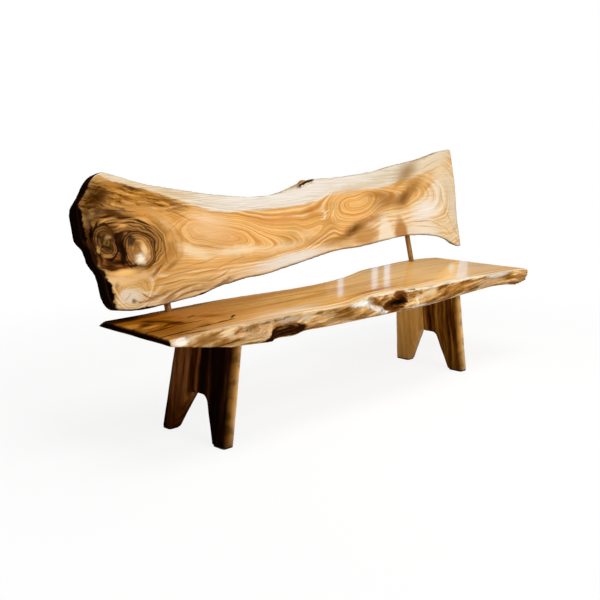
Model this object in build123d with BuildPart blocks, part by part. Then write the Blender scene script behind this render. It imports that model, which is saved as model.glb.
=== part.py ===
"""Rustic live-edge slab bench with a leaning slab backrest, in millimetres, +Z up.

X runs along the bench, +Y points to the back, and the origin lies on the floor under the
middle of the bench. The bench is fixed: nothing on it moves.
"""

import os
from math import cos, radians, sin, tan

from build123d import *

os.makedirs("parts", exist_ok=True)

# ---- seat slab
seat_height = 430.0  # floor to the flat top
seat_thickness = 68.0
belly_drop = 44.0  # top face down to the fullest line of the bark sides
belly_out = 5.0  # how far the belly stands out beyond the underside
right_end_belly = 52.0  # how far the right end slopes out again, underside to belly
left_end_thickness = 23.0  # the underside is bevelled away towards the left end
left_bevel_length = 255.0

# ---- backrest slab
back_thickness = 48.0
back_centre_x = -85.5  # middle between the posts, at the seat's top face
back_centre_y = 137.0
back_turn = 4.4  # degrees in plan, so that it follows the seat's rear edge
back_lean = 13.0  # degrees from upright

# ---- round posts, tenoned through the seat and up into the backrest
post_spacing = 1638.0
post_diameter = 25.0
post_tenon = 95.0  # into the backrest's lower edge
post_clearance = 0.15  # radial, in both holes
post_end_gap = 1.0
post_gap_left = 27.0  # seat top to the backrest's lower edge, along the post
post_gap_right = 128.0

# ---- wedges that spread the post feet under the seat
wedge_length = 34.0
wedge_head = 4.0
wedge_tip = 1.0
wedge_clearance = 0.1

# ---- pegs that lock the posts in the backrest, driven from the rear
peg_diameter = 8.0
peg_clearance = 0.1
peg_height = 45.0  # above the backrest's lower edge
peg_past_post = 4.0

# ---- trestles: two edge-joined planks each, splayed outwards; the arches are cut by hand
splay = 9.0  # degrees
plank_thickness = 54.0
front_rake = 1.5  # degrees, each edge leans inwards as it rises
rear_rake = 4.5
plank_round = 19.0
arch_round = 12.0
trestles = {
    "left": {
        "foot_x": -930.0,  # middle of the plank at the floor
        "inward": 1,  # the top leans this way along X
        "front_y": -286.0,
        "seam_y": -114.0,
        "rear_y": 68.0,
        "arch_height": 159.0,
        "arch_front_foot": -218.0,
        "arch_front_crown": -161.0,
        "arch_rear_crown": -73.0,
        "arch_rear_foot": 16.0,
        "crown_radius": 34.0,
    },
    "right": {
        "foot_x": 481.0,
        "inward": -1,
        "front_y": -304.0,
        "seam_y": -108.0,
        "rear_y": 74.0,
        "arch_height": 170.0,
        "arch_front_foot": -229.0,
        "arch_front_crown": -170.0,
        "arch_rear_crown": -83.0,
        "arch_rear_foot": -4.0,
        "crown_radius": 22.0,
    },
}

# ---- glides under the feet
glide_thickness = 5.0
glide_inset = 3.0  # inside the foot's outline
glide_corner = 12.0
glide_stem_diameter = 9.0
glide_stem_length = 20.0
glide_clearance = 0.15

# ---- dowels
leg_dowel_diameter = 14.0
leg_dowel_length = 76.0
leg_dowel_edge = 42.0  # from the trestle's front and rear edges
leg_dowel_seam = 30.0  # from the seam between the planks
seam_dowel_diameter = 10.0
seam_dowel_length = 70.0
seam_dowel_pitch = 90.0
seam_dowel_top = 55.0  # below the seat
dowel_clearance = 0.15
dowel_end_gap = 1.0

# ---- seat outline: front bark side at the top face and at the underside
front_top = [
    (-1179, -290),
    (-1037, -274),
    (-897, -268),
    (-717, -286),
    (-607, -282),
    (-527, -303),
    (-417, -322),
    (-307, -312),
    (-217, -280),
    (-137, -256),
    (-55, -249),
    (48, -253),
    (123, -275),
    (213, -285),
    (413, -280),
    (583, -302),
    (778, -316),
    (868, -323),
    (918, -363),
]
front_bottom = [
    (-1177, -305),
    (-1037, -300),
    (-907, -307),
    (-817, -335),
    (-772, -344),
    (-727, -326),
    (-667, -334),
    (-587, -310),
    (-507, -316),
    (-377, -326),
    (-207, -335),
    (-27, -340),
    (83, -344),
    (213, -337),
    (333, -324),
    (473, -310),
    (613, -299),
    (743, -297),
    (798, -320),
    (815, -375),
]
# rear bark side at the top face; the third number is how far it stands out below
rear_edge = [
    (928, 188, 0),
    (813, 228, 12),
    (663, 232, 14),
    (493, 213, 14),
    (333, 193, 14),
    (183, 140, 16),
    (-32, 90, 16),
    (-197, 78, 14),
    (-477, 102, 14),
    (-722, 111, 16),
    (-1027, 97, 30),
    (-1165, 98, 70),
]
right_end_undercut = 95.0

# ---- knot hole and bark hollow in the seat's front side: x, y, z and radius of each scoop
knot_hole = (-84, -362, 404, 78)
bark_hollow = (-717, -400, 390, 82)

# ---- backrest front outline: along the slab, and up it from the seat's top face
back_top = [
    (-1013, 518),
    (-964, 504),
    (-863, 474),
    (-754, 453),
    (-639, 433),
    (-517, 413),
    (-386, 398),
    (-246, 390),
    (-171, 392),
    (-91, 403),
    (-14, 419),
    (81, 443),
    (168, 448),
    (347, 450),
    (542, 462),
    (645, 471),
    (755, 488),
    (867, 500),
    (984, 512),
    (1107, 530),
    (1236, 552),
    (1344, 559),
]
back_right = [(1344, 559), (1343, 478), (1331, 335), (1302, 198), (1295, 127), (1291, 30)]
# the third number is how much higher the rear arris of the lower edge lies
back_bottom = [
    (1291, 30, 15),
    (1247, 29, 25),
    (1199, 46, 40),
    (1144, 72, 40),
    (1089, 92, 35),
    (1033, 106, 20),
    (920, 121, 12),
    (819, post_gap_right, 10),
    (700, 129, 6),
    (594, 124, 5),
    (491, 119, 5),
    (392, 115, 5),
    (207, 115, 5),
    (117, 109, 5),
    (-56, 90, 5),
    (-216, 75, 5),
    (-293, 67, 5),
    (-436, 65, 5),
    (-506, 58, 5),
    (-574, 52, 5),
    (-641, 38, 5),
    (-705, 32, 5),
    (-819, post_gap_left, 5),
    (-884, 23, 5),
    (-994, 26, 5),
    (-1059, 38, 5),
]
back_left = [
    (-1059, 38),
    (-1080, 62),
    (-1093, 111),
    (-1101, 176),
    (-1122, 210),
    (-1134, 262),
    (-1155, 288),
    (-1158, 330),
    (-1151, 400),
    (-1117, 439),
    (-1087, 477),
    (-1056, 505),
    (-1013, 518),
]
bark_knob = (66, 425)  # a small bark knot that stands up from the top edge
bark_knob_radius = 24.0

# ---- values worked out from the sizes above
underside = seat_height - seat_thickness
belly_height = seat_height - belly_drop
foot_plane = glide_thickness
back_origin = (back_centre_x, back_centre_y, seat_height)
turn = radians(back_turn)
lean = radians(back_lean)
along = Vector(cos(turn), sin(turn), 0)
up_slab = Vector(-sin(turn) * sin(lean), cos(turn) * sin(lean), cos(lean))
out_front = along.cross(up_slab)
back_plane = Plane(origin=back_origin, x_dir=along, z_dir=out_front)


def seat_section(height, front_line, lean_share, out, undercut):
    """Closed outline of the seat slab at one height."""
    rear_line = [(x, y + lean * lean_share + out) for x, y, lean in rear_edge]
    rear_line[0] = (rear_line[0][0] - undercut, rear_line[0][1])
    with BuildSketch(Plane.XY.offset(height)) as section:
        with BuildLine():
            Spline(*front_line)
            Line(front_line[-1], rear_line[0])
            Spline(*rear_line)
            Line(rear_line[-1], front_line[0])
        make_face()
    return section.sketch


def back_section(depth, rise_share):
    """Closed outline of the backrest on one of its faces."""
    bottom = [(x, y + rise * rise_share) for x, y, rise in back_bottom]
    right = back_right[:-1] + [bottom[0]]
    left = [bottom[-1]] + back_left[1:]
    with BuildSketch(back_plane.offset(depth)) as section:
        with BuildLine():
            Spline(*back_top)
            Spline(*right)
            Spline(*bottom)
            Spline(*left)
        make_face()
    return section.sketch


def post_axis(side):
    """Point on the seat's top face where a post's axis stands; side is -1 left, 1 right."""
    return Vector(*back_origin) + along * (side * post_spacing / 2)


def post_plane(side, height):
    """Plane square to a post, so far up it from the seat's top face."""
    return Plane(origin=post_axis(side) + up_slab * height, x_dir=along, z_dir=up_slab)


post_sides = {"left": -1, "right": 1}
post_gaps = {"left": post_gap_left, "right": post_gap_right}
post_foot = seat_thickness / cos(lean)  # seat thickness measured along a post
splay_rise = tan(radians(splay))


def plank_x(trestle, height):
    """Middle of a trestle's planks at a height; the tops lean towards the bench's middle."""
    return trestle["foot_x"] + trestle["inward"] * splay_rise * height


def trestle_plane(trestle):
    """A trestle's own plane: x to the back, y up the splayed planks."""
    up = Vector(trestle["inward"] * sin(radians(splay)), 0, cos(radians(splay)))
    back = Vector(0, 1, 0)
    return Plane(origin=(trestle["foot_x"], 0, 0), x_dir=back, z_dir=back.cross(up))


def edge_y(trestle, half, height):
    """Front or rear edge of a trestle at a height."""
    if half == "front":
        return trestle["front_y"] + tan(radians(front_rake)) * height
    return trestle["rear_y"] - tan(radians(rear_rake)) * height


def leg_dowel_spots(trestle, half):
    """Dowel places on top of one plank."""
    x = plank_x(trestle, underside)
    toward = -1 if half == "front" else 1
    outer = edge_y(trestle, half, underside) - toward * leg_dowel_edge
    return [(x, outer), (x, trestle["seam_y"] + toward * leg_dowel_seam)]


seam_dowel_heights = [
    underside - seam_dowel_top,
    underside - seam_dowel_top - seam_dowel_pitch,
]


def foot_middle(trestle, half):
    """Middle of one foot at the foot plane."""
    y = (edge_y(trestle, half, foot_plane) + trestle[f"arch_{half}_foot"]) / 2
    return plank_x(trestle, foot_plane), y


# ---- seat slab: ruled from the top face out to the belly, then back in to the underside
belly_line = [(x, y - belly_out) for x, y in front_bottom]
belly_line[-1] = (belly_line[-1][0] + right_end_belly, belly_line[-1][1])
belly_undercut = right_end_undercut - right_end_belly
belly_section = seat_section(belly_height, belly_line, 1, belly_out, belly_undercut)
with BuildPart() as seat_upper:
    add(seat_section(seat_height, front_top, 0, 0, 0))
    add(belly_section)
    loft(ruled=True)
with BuildPart() as seat_lower:
    add(belly_section)
    add(seat_section(underside, front_bottom, 1, 0, right_end_undercut))
    loft(ruled=True)

left_end_x = front_top[0][0]
with BuildPart(mode=Mode.PRIVATE) as left_bevel:
    with BuildSketch(Plane.XZ):
        with BuildLine():
            Polyline(
                (left_end_x - left_bevel_length, underside - seat_thickness),
                (left_end_x + left_bevel_length, underside - seat_thickness),
                (left_end_x + left_bevel_length, underside),
                (left_end_x, seat_height - left_end_thickness),
                (left_end_x - left_bevel_length, seat_height - left_end_thickness),
                close=True,
            )
        make_face()
    extrude(amount=seat_height, both=True)

with BuildPart() as seat:
    add(seat_upper.part)
    add(seat_lower.part)
    add(left_bevel.part, mode=Mode.SUBTRACT)
    for x, y, z, radius in (knot_hole, bark_hollow):
        with Locations((x, y, z)):
            Sphere(radius, mode=Mode.SUBTRACT)
    for side in post_sides.values():
        with BuildSketch(post_plane(side, post_diameter)):
            Circle(post_diameter / 2 + post_clearance)
        extrude(amount=-post_foot - 2 * post_diameter, mode=Mode.SUBTRACT)
    for trestle in trestles.values():
        with BuildSketch(Plane.XY.offset(underside)):
            with Locations(*leg_dowel_spots(trestle, "front"), *leg_dowel_spots(trestle, "rear")):
                Circle(leg_dowel_diameter / 2 + dowel_clearance)
        extrude(amount=leg_dowel_length / 2 + dowel_end_gap, mode=Mode.SUBTRACT)
seat.part.label = "seat_slab"
export_step(seat.part, "parts/seat_slab.step")

# ---- backrest slab
back_half = back_thickness / 2
with BuildPart() as backrest:
    add(back_section(back_half, 0))
    add(back_section(-back_half, 1))
    loft(ruled=True)
    with Locations(back_plane):
        with Locations((*bark_knob, 0)):
            Sphere(bark_knob_radius)
    for name, side in post_sides.items():
        gap = post_gaps[name]
        with BuildSketch(post_plane(side, gap - back_thickness)):
            Circle(post_diameter / 2 + post_clearance)
        extrude(amount=back_thickness + post_tenon + post_end_gap, mode=Mode.SUBTRACT)
        with BuildSketch(back_plane.offset(-back_half)):
            with Locations((side * post_spacing / 2, gap + peg_height)):
                Circle(peg_diameter / 2 + peg_clearance)
        peg_bore = back_half + post_diameter / 2 + peg_past_post + post_end_gap
        extrude(amount=peg_bore, mode=Mode.SUBTRACT)
backrest.part.label = "backrest_slab"
export_step(backrest.part, "parts/backrest_slab.step")

# ---- posts, with the wedges in their feet and the pegs through their heads
for name, side in post_sides.items():
    gap = post_gaps[name]
    foot_x = side * post_spacing / 2
    with BuildPart(mode=Mode.PRIVATE) as peg_hole:
        with BuildSketch(back_plane.offset(-back_half)):
            with Locations((foot_x, gap + peg_height)):
                Circle(peg_diameter / 2 + peg_clearance)
        extrude(amount=back_thickness)
    with BuildPart() as wedge:
        with BuildSketch(back_plane):
            with BuildLine():
                Polyline(
                    (foot_x - wedge_head / 2, -post_foot - wedge_head),
                    (foot_x + wedge_head / 2, -post_foot - wedge_head),
                    (foot_x + wedge_tip / 2, wedge_length - post_foot),
                    (foot_x - wedge_tip / 2, wedge_length - post_foot),
                    close=True,
                )
            make_face()
        extrude(amount=post_diameter / 2 - 2 * wedge_tip, both=True)
        split(bisect_by=Plane.XY.offset(underside), keep=Keep.TOP)
    with BuildPart() as post:
        with BuildSketch(post_plane(side, gap + post_tenon)):
            Circle(post_diameter / 2)
        extrude(amount=-gap - post_tenon - post_foot - post_diameter)
        split(bisect_by=Plane.XY.offset(underside), keep=Keep.TOP)
        with BuildSketch(back_plane):
            with BuildLine():
                Polyline(
                    (foot_x - wedge_head / 2 - wedge_clearance, -post_foot - wedge_head),
                    (foot_x + wedge_head / 2 + wedge_clearance, -post_foot - wedge_head),
                    (foot_x + wedge_tip / 2 + wedge_clearance, wedge_length - post_foot + 1),
                    (foot_x - wedge_tip / 2 - wedge_clearance, wedge_length - post_foot + 1),
                    close=True,
                )
            make_face()
        extrude(amount=post_diameter, both=True, mode=Mode.SUBTRACT)
        add(peg_hole.part, mode=Mode.SUBTRACT)
    with BuildPart() as peg:
        with BuildSketch(back_plane.offset(-back_half)):
            with Locations((foot_x, gap + peg_height)):
                Circle(peg_diameter / 2)
        extrude(amount=back_half + post_diameter / 2 + peg_past_post)
    for piece, label in ((post, "post"), (wedge, "post_wedge"), (peg, "backrest_peg")):
        piece.part.label = f"{label}_{name}"
        export_step(piece.part, f"parts/{label}_{name}.step")

# ---- trestles
slope = cos(radians(splay))
low_z = -plank_round  # planks are drawn past both ends, then trimmed level
high_z = seat_height


def at_height(y, height):
    """Point in a trestle's own plane for a place to the back and a true height."""
    return (y, height / slope)


def arch_foot(trestle, half):
    """Lower end of the arch's straight side, carried on below the floor."""
    foot_y = trestle[f"arch_{half}_foot"]
    run = (foot_y - trestle[f"arch_{half}_crown"]) / trestle["arch_height"]
    return at_height(foot_y - run * low_z, low_z)


def on_broad_face(edge, plane):
    """True where an edge lies in one of a plank's two broad faces."""
    depths = [abs(plane.to_local_coords(edge @ share).Z) for share in (0, 0.5, 1)]
    return min(depths) > plank_thickness / 2 - 0.01


def is_outer(edge, trestle, half):
    """True for an arris along the plank's front or rear edge."""
    middle = edge @ 0.5
    return abs(middle.Y - edge_y(trestle, half, middle.Z)) < 1


def is_arch(edge, trestle):
    """True for an arris of the arch, leaving out the seam."""
    middle = edge @ 0.5
    off_seam = max(abs((edge @ share).Y - trestle["seam_y"]) for share in (0, 1))
    between = trestle["arch_front_foot"] < middle.Y < trestle["arch_rear_foot"]
    return between and off_seam > 1 and low_z + 1 < middle.Z < trestle["arch_height"] + 1


for name, trestle in trestles.items():
    plane = trestle_plane(trestle)
    seam_y = trestle["seam_y"]
    crown_height = trestle["arch_height"]
    for half, toward in (("front", -1), ("rear", 1)):
        with BuildPart() as plank:
            with BuildSketch(plane.offset(-plank_thickness / 2)):
                with BuildLine():
                    Polyline(
                        at_height(seam_y, low_z),
                        at_height(seam_y, high_z),
                        at_height(edge_y(trestle, half, high_z), high_z),
                        at_height(edge_y(trestle, half, low_z), low_z),
                        close=True,
                    )
                make_face()
            extrude(amount=plank_thickness)
            with BuildSketch(plane.offset(-plank_thickness)):
                with BuildLine():
                    Polyline(
                        arch_foot(trestle, "front"),
                        at_height(trestle["arch_front_crown"], crown_height),
                        at_height(trestle["arch_rear_crown"], crown_height),
                        arch_foot(trestle, "rear"),
                        close=True,
                    )
                make_face()
                crown = vertices().filter_by(lambda v: v.Y > crown_height / 2)
                fillet(crown, trestle["crown_radius"])
            extrude(amount=2 * plank_thickness, mode=Mode.SUBTRACT)
            broad = plank.edges().filter_by(lambda e: on_broad_face(e, plane))
            outer = broad.filter_by(lambda e: is_outer(e, trestle, half))
            arch = broad.filter_by(lambda e: is_arch(e, trestle))
            fillet(outer, plank_round)
            fillet(arch, arch_round)
            split(bisect_by=Plane.XY.offset(underside), keep=Keep.BOTTOM)
            split(bisect_by=Plane.XY.offset(foot_plane), keep=Keep.TOP)
            with BuildSketch(Plane.XY.offset(underside)):
                with Locations(*leg_dowel_spots(trestle, half)):
                    Circle(leg_dowel_diameter / 2 + dowel_clearance)
            extrude(amount=-leg_dowel_length / 2 - dowel_end_gap, mode=Mode.SUBTRACT)
            seam_plane = Plane(origin=(0, seam_y, 0), x_dir=(1, 0, 0), z_dir=(0, -1, 0))
            with BuildSketch(seam_plane):
                with Locations(*[(plank_x(trestle, z), z) for z in seam_dowel_heights]):
                    Circle(seam_dowel_diameter / 2 + dowel_clearance)
            seam_bore = seam_dowel_length / 2 + dowel_end_gap
            extrude(amount=-toward * seam_bore, mode=Mode.SUBTRACT)
            with BuildSketch(Plane.XY.offset(foot_plane)):
                with Locations(foot_middle(trestle, half)):
                    Circle(glide_stem_diameter / 2 + glide_clearance)
            extrude(amount=glide_stem_length + dowel_end_gap, mode=Mode.SUBTRACT)
        plank.part.label = f"leg_{name}_{half}"
        export_step(plank.part, f"parts/leg_{name}_{half}.step")

        foot_width = abs(edge_y(trestle, half, foot_plane) - trestle[f"arch_{half}_foot"])
        with BuildPart() as glide:
            with BuildSketch(Plane.XY):
                with Locations(foot_middle(trestle, half)):
                    RectangleRounded(
                        plank_thickness - 2 * glide_inset,
                        foot_width - 2 * glide_inset,
                        glide_corner,
                    )
            extrude(amount=glide_thickness)
            with BuildSketch(Plane.XY.offset(glide_thickness)):
                with Locations(foot_middle(trestle, half)):
                    Circle(glide_stem_diameter / 2)
            extrude(amount=glide_stem_length)
        glide.part.label = f"glide_{name}_{half}"
        export_step(glide.part, f"parts/glide_{name}_{half}.step")

    with BuildPart() as leg_dowels:
        with BuildSketch(Plane.XY.offset(underside)):
            with Locations(*leg_dowel_spots(trestle, "front"), *leg_dowel_spots(trestle, "rear")):
                Circle(leg_dowel_diameter / 2)
        extrude(amount=leg_dowel_length / 2, both=True)
    leg_dowels.part.label = f"leg_dowels_{name}"
    export_step(leg_dowels.part, f"parts/leg_dowels_{name}.step")

    with BuildPart() as seam_dowels:
        with BuildSketch(Plane(origin=(0, seam_y, 0), x_dir=(1, 0, 0), z_dir=(0, -1, 0))):
            with Locations(*[(plank_x(trestle, z), z) for z in seam_dowel_heights]):
                Circle(seam_dowel_diameter / 2)
        extrude(amount=seam_dowel_length / 2, both=True)
    seam_dowels.part.label = f"seam_dowels_{name}"
    export_step(seam_dowels.part, f"parts/seam_dowels_{name}.step")
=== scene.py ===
from math import cos, radians, sin

import bpy
import numpy as np
from mathutils import Euler, Matrix, Vector, kdtree, noise


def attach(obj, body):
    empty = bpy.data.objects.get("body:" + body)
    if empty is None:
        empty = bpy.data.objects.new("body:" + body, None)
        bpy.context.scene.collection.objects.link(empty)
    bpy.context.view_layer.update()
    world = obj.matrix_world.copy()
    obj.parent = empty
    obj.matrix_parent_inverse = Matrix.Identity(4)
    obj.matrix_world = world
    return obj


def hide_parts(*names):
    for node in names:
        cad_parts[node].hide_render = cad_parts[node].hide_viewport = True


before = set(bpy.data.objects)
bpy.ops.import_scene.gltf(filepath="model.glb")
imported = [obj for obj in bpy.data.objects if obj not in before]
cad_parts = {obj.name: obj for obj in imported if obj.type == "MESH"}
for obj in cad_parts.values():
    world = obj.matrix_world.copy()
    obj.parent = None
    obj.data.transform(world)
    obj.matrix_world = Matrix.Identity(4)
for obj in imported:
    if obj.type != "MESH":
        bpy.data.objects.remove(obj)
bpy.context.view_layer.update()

# everything is made in metres; the dictionaries of the pieces are in millimetres and degrees,
# and those of the camera and the studio are in metres


# small helpers

def linear(hexColour):
    channels = [int(hexColour[i:i + 2], 16) / 255 for i in (1, 3, 5)]
    return [c / 12.92 if c <= 0.04045 else ((c + 0.055) / 1.055) ** 2.4 for c in channels] + [1.0]


def metres(sizes):
    return [size / 1000 for size in sizes]


def emptyMaterial(name):
    material = bpy.data.materials.new(name)
    material.use_nodes = True
    material.node_tree.nodes.clear()
    return material, material.node_tree


def put(tree, kind, links=None, **settings):
    # inputs go by name or by number: a map range's 0 to 4 are value, from min, from max, to min, to max
    node = tree.nodes.new("ShaderNode" + kind)
    for key, value in settings.items():
        setattr(node, key, value)
    for key, value in (links or {}).items():
        if isinstance(value, bpy.types.Node):
            value = value.outputs[0]
        if isinstance(value, bpy.types.NodeSocket):
            tree.links.new(value, node.inputs[key])
        else:
            node.inputs[key].default_value = value
    return node


def fillRamp(node, stops):
    ramp = node.color_ramp
    while len(ramp.elements) < len(stops):
        ramp.elements.new(0.5)
    for element, (place, colour, *alpha) in zip(ramp.elements, stops):
        element.position = place
        element.color = linear(colour) if isinstance(colour, str) else [colour] * 3 + [1.0]
        element.alpha = alpha[0] if alpha else 1.0
    return node


def fillCurve(node, points, reach, span):
    curve = node.mapping.curves[0]
    while len(curve.points) < len(points):
        curve.points.new(0.5, 0.5)
    wide, high = reach[1] - reach[0], span[1] - span[0]
    for point, (along, across) in zip(curve.points, points):
        point.location = ((along - reach[0]) / wide, (across - span[0]) / high)
        point.handle_type = "AUTO_CLAMPED"
    node.mapping.update()
    return node


def pick(piece):
    bpy.ops.object.select_all(action="DESELECT")
    piece.select_set(True)
    bpy.context.view_layer.objects.active = piece


def finishWith(piece, kind, **settings):
    pick(piece)
    modifier = piece.modifiers.new(kind.title(), kind)
    for key, value in settings.items():
        setattr(modifier, key, value)
    bpy.ops.object.modifier_apply(modifier=modifier.name)


def coords(piece):
    found = np.zeros(len(piece.data.vertices) * 3)
    piece.data.vertices.foreach_get("co", found)
    return found.reshape(-1, 3)


def normals(piece):
    found = np.zeros(len(piece.data.vertices) * 3, np.float32)
    piece.data.vertex_normals.foreach_get("vector", found)
    return found.reshape(-1, 3).astype(float)


def setCoords(piece, points):
    piece.data.vertices.foreach_set("co", points.astype(np.float32).ravel())
    piece.data.update()


def store(piece, name, values):
    kind = "FLOAT" if values.ndim == 1 else "FLOAT_VECTOR"
    layer = piece.data.attributes.new(name, kind, "POINT")
    layer.data.foreach_set("value" if kind == "FLOAT" else "vector", values.astype(np.float32).ravel())


# the camera, at the standpoint of a person who looks along the bench from its left front

camera = {"place": (-2.817, -2.460, 1.076), "turn": 44.19, "down": 10.9, "lens": 52.45}
lens = bpy.data.cameras.new("camera")
lens.lens = camera["lens"]
lens.sensor_width = 36.0
lens.clip_end = 60.0
view = bpy.data.objects.new("camera", lens)
view.location = camera["place"]
view.rotation_euler = Euler((radians(90 - camera["down"]), 0, radians(camera["turn"] - 90)))
bpy.context.scene.collection.objects.link(view)
bpy.context.scene.camera = view
bpy.context.scene.view_settings.view_transform = "Standard"
print("camera set")


# frames of the slabs and trestles: along the board, up it, and out of its face

def boardFrame(origin, along, up):
    along, up = Vector(along).normalized(), Vector(up).normalized()
    out = along.cross(up)
    matrix = Matrix((along, up, out)).transposed().to_4x4()
    matrix.translation = Vector(origin)
    return matrix


stance = {
    "seatHeight": 430,
    "backPlace": (-85.5, 137),
    "backLean": 13,
    "backTurn": 4.4,
    "trestles": {"left": (-930, 9), "right": (481, -9)},  # place of the feet along the bench, and splay
    "seam": -112,  # place across the bench where the two planks of a trestle meet
}
seatHeight = stance["seatHeight"] / 1000
lean, turn = radians(stance["backLean"]), radians(stance["backTurn"])
seatFrame = Matrix.Translation((0, 0, seatHeight))
backFrame = boardFrame(
    (*metres(stance["backPlace"]), seatHeight),
    (cos(turn), sin(turn), 0),
    (-sin(turn) * sin(lean), cos(turn) * sin(lean), cos(lean)),
)
trestleFrames = {}
for end, (along, splay) in stance["trestles"].items():
    foot = (*metres((along, stance["seam"])), 0)
    trestleFrames[end] = boardFrame(foot, (0, 1, 0), (sin(radians(splay)), 0, cos(radians(splay))))


# shaping of the boards

def boardFrom(node, name, matrix, look, fillers=()):
    # a merged copy of the sawn board, remeshed evenly in its own flat frame and sanded round;
    # each filler is a block of eight corners that is grown together with it
    piece = bpy.data.objects.new(name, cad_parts[node].data.copy())
    bpy.context.scene.collection.objects.link(piece)
    piece.data.materials.clear()
    pick(piece)
    bpy.ops.object.mode_set(mode="EDIT")
    bpy.ops.mesh.select_all(action="SELECT")
    bpy.ops.mesh.remove_doubles(threshold=0.00002)
    bpy.ops.object.mode_set(mode="OBJECT")
    piece.data.transform(matrix.inverted())
    for corners in fillers:
        bpy.ops.object.select_all(action="DESELECT")
        bpy.ops.mesh.primitive_cube_add()
        block = bpy.context.active_object
        setCoords(block, np.array(corners) / 1000)
        pick(piece)
        block.select_set(True)
        bpy.ops.object.join()
    finishWith(piece, "REMESH", mode="VOXEL", voxel_size=look["grid"] / 1000, use_smooth_shade=True)
    finishWith(piece, "SMOOTH", factor=0.5, iterations=look["rounding"])
    return piece


def waves(points, layers):
    # smooth noise in layers: height, width of its humps along each axis, and a number that moves it on
    total = 0
    for height, size, seed in layers:
        shift = Vector((seed * 7.31, seed * 3.17, seed * 5.77))
        scaled = points / np.array(metres(size))
        total = total + height / 1000 * np.array([noise.noise(Vector(p) + shift) for p in scaled])
    return total


def hump(points, x, z, wide, tall, tilt):
    # one smooth hump of height 1 in the plane of the first and last axis
    dx, dz = points[:, 0] - x / 1000, points[:, 2] - z / 1000
    c, s = cos(radians(tilt)), sin(radians(tilt))
    u, v = (c * dx + s * dz) / (wide / 1000), (-s * dx + c * dz) / (tall / 1000)
    return np.exp(-0.5 * (u * u + v * v))


def nearest(points, places):
    # how far each place is from the closest of the points
    tree = kdtree.KDTree(len(points))
    for index, point in enumerate(points):
        tree.insert(point, index)
    tree.balance()
    return np.array([tree.find(place)[2] for place in places])


def sideAndEdge(piece):
    # side: 1 between the board's two sawn faces; edge: how far a point lies in from the outline;
    # end: 1 on what faces left at the left end, where a near-black painted shade stands in for the shadow on
    # that side
    arrisStart, arrisWidth, rimDepth, shadedEndBelow = metres((1.5, 3.5, 8, -1050))
    points = coords(piece)
    inset = np.minimum(points[:, 2].max() - points[:, 2], points[:, 2] - points[:, 2].min())
    side = np.clip((inset - arrisStart) / arrisWidth, 0, 1)
    side = side * side * (3 - 2 * side)
    middle = (points[:, 2].max() + points[:, 2].min()) / 2
    distance = np.zeros(len(points))
    flat = points * (1, 1, 0)
    for half in (points[:, 2] > middle, points[:, 2] <= middle):
        distance[half] = nearest(flat[half & (side > 0.5) & (inset < rimDepth)], flat[half])
    store(piece, "grain", points)
    store(piece, "side", side)
    store(piece, "end", np.clip((-normals(piece)[:, 0] - 0.6) * 5, 0, 1) * (points[:, 0] < shadedEndBelow))
    store(piece, "edge", distance)
    return side


def pushSide(piece, amount):
    # moves the bark side out, or in where the amount is below 0, and leaves the sawn faces flat
    setCoords(piece, coords(piece) + normals(piece) * (1, 1, 0) * amount[:, None])


# parts of a wood pattern

def stretched(tree, spot, width, detail, roughness=0.6, **more):
    # noise whose humps have the given width in millimetres along each axis
    at = put(tree, "VectorMath", {0: spot, 1: [1000 / size for size in width]}, operation="MULTIPLY")
    inputs = {"Vector": at, "Scale": 1.0, "Detail": detail, "Roughness": roughness}
    return put(tree, "TexNoise", {**inputs, **more})


def frayed(tree, spot, width, size, detail=4.0, roughness=0.6):
    # the place, moved by up to half of size in humps of the given width, so that a pattern's edges fray
    swirl = stretched(tree, spot, width, detail, roughness).outputs["Color"]
    centred = put(tree, "VectorMath", {0: swirl, 1: (0.5, 0.5, 0.5)}, operation="SUBTRACT")
    return put(tree, "VectorMath", {0: centred, 1: metres(size), 2: spot}, operation="MULTIPLY_ADD")


def blot(tree, spot, place, falloff="SPHERICAL"):
    # 1 in the middle of an ellipse and 0 at its rim: x, y, half width, half height, tilt
    x, y, wide, tall, tilt = place
    local = put(
        tree, "Mapping",
        {
            "Vector": spot, "Location": (x / 1000, y / 1000, 0), "Rotation": (0, 0, radians(tilt)),
            "Scale": (wide / 1000, tall / 1000, 1000.0),  # the board's thickness doesn't count
        },
        vector_type="TEXTURE",
    )
    return put(tree, "TexGradient", {0: local}, gradient_type=falloff).outputs["Fac"]


def stains(tree, spot, colour, patches):
    # each patch: x, y, half width, half height, tilt, then colour, strength and softness
    for *place, tone, strength, softness in patches:
        inward = blot(tree, spot, place)
        mask = put(tree, "MapRange", {0: inward, 2: softness, 4: strength}, interpolation_type="SMOOTHSTEP")
        colour = put(tree, "MixRGB", {0: mask, 1: colour, 2: linear(tone)})
    return colour


def anyOf(tree, spot, patches):
    # one mask from several patches: x, y, half width, half height, tilt, softness
    whole = 0.0
    for *place, softness in patches:
        inward = blot(tree, spot, place)
        mask = put(tree, "MapRange", {0: inward, 2: softness}, interpolation_type="SMOOTHSTEP")
        whole = put(tree, "Math", {0: whole, 1: mask}, operation="MAXIMUM")
    return whole


def eyes(tree, spot, colour, knots):
    # rings of a sawn branch: x, y, half width, half height, tilt, then colours from the rim inwards
    for *place, rings in knots:
        inward = blot(tree, spot, place)
        ring = fillRamp(put(tree, "ValToRGB", {0: inward}), rings)
        fine = put(
            tree, "TexNoise", {"W": inward, "Scale": 26.0, "Detail": 2.0, "Roughness": 0.6},
            noise_dimensions="1D",
        )
        shade = fillRamp(put(tree, "ValToRGB", {0: fine}), [(0.35, 0.5), (0.5, 1.0), (0.62, 1.3)])
        toned = put(tree, "MixRGB", {0: 0.6, 1: ring.outputs["Color"], 2: shade}, blend_type="MULTIPLY")
        colour = put(tree, "MixRGB", {0: ring.outputs["Alpha"], 1: colour, 2: toned})
    return colour


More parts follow.
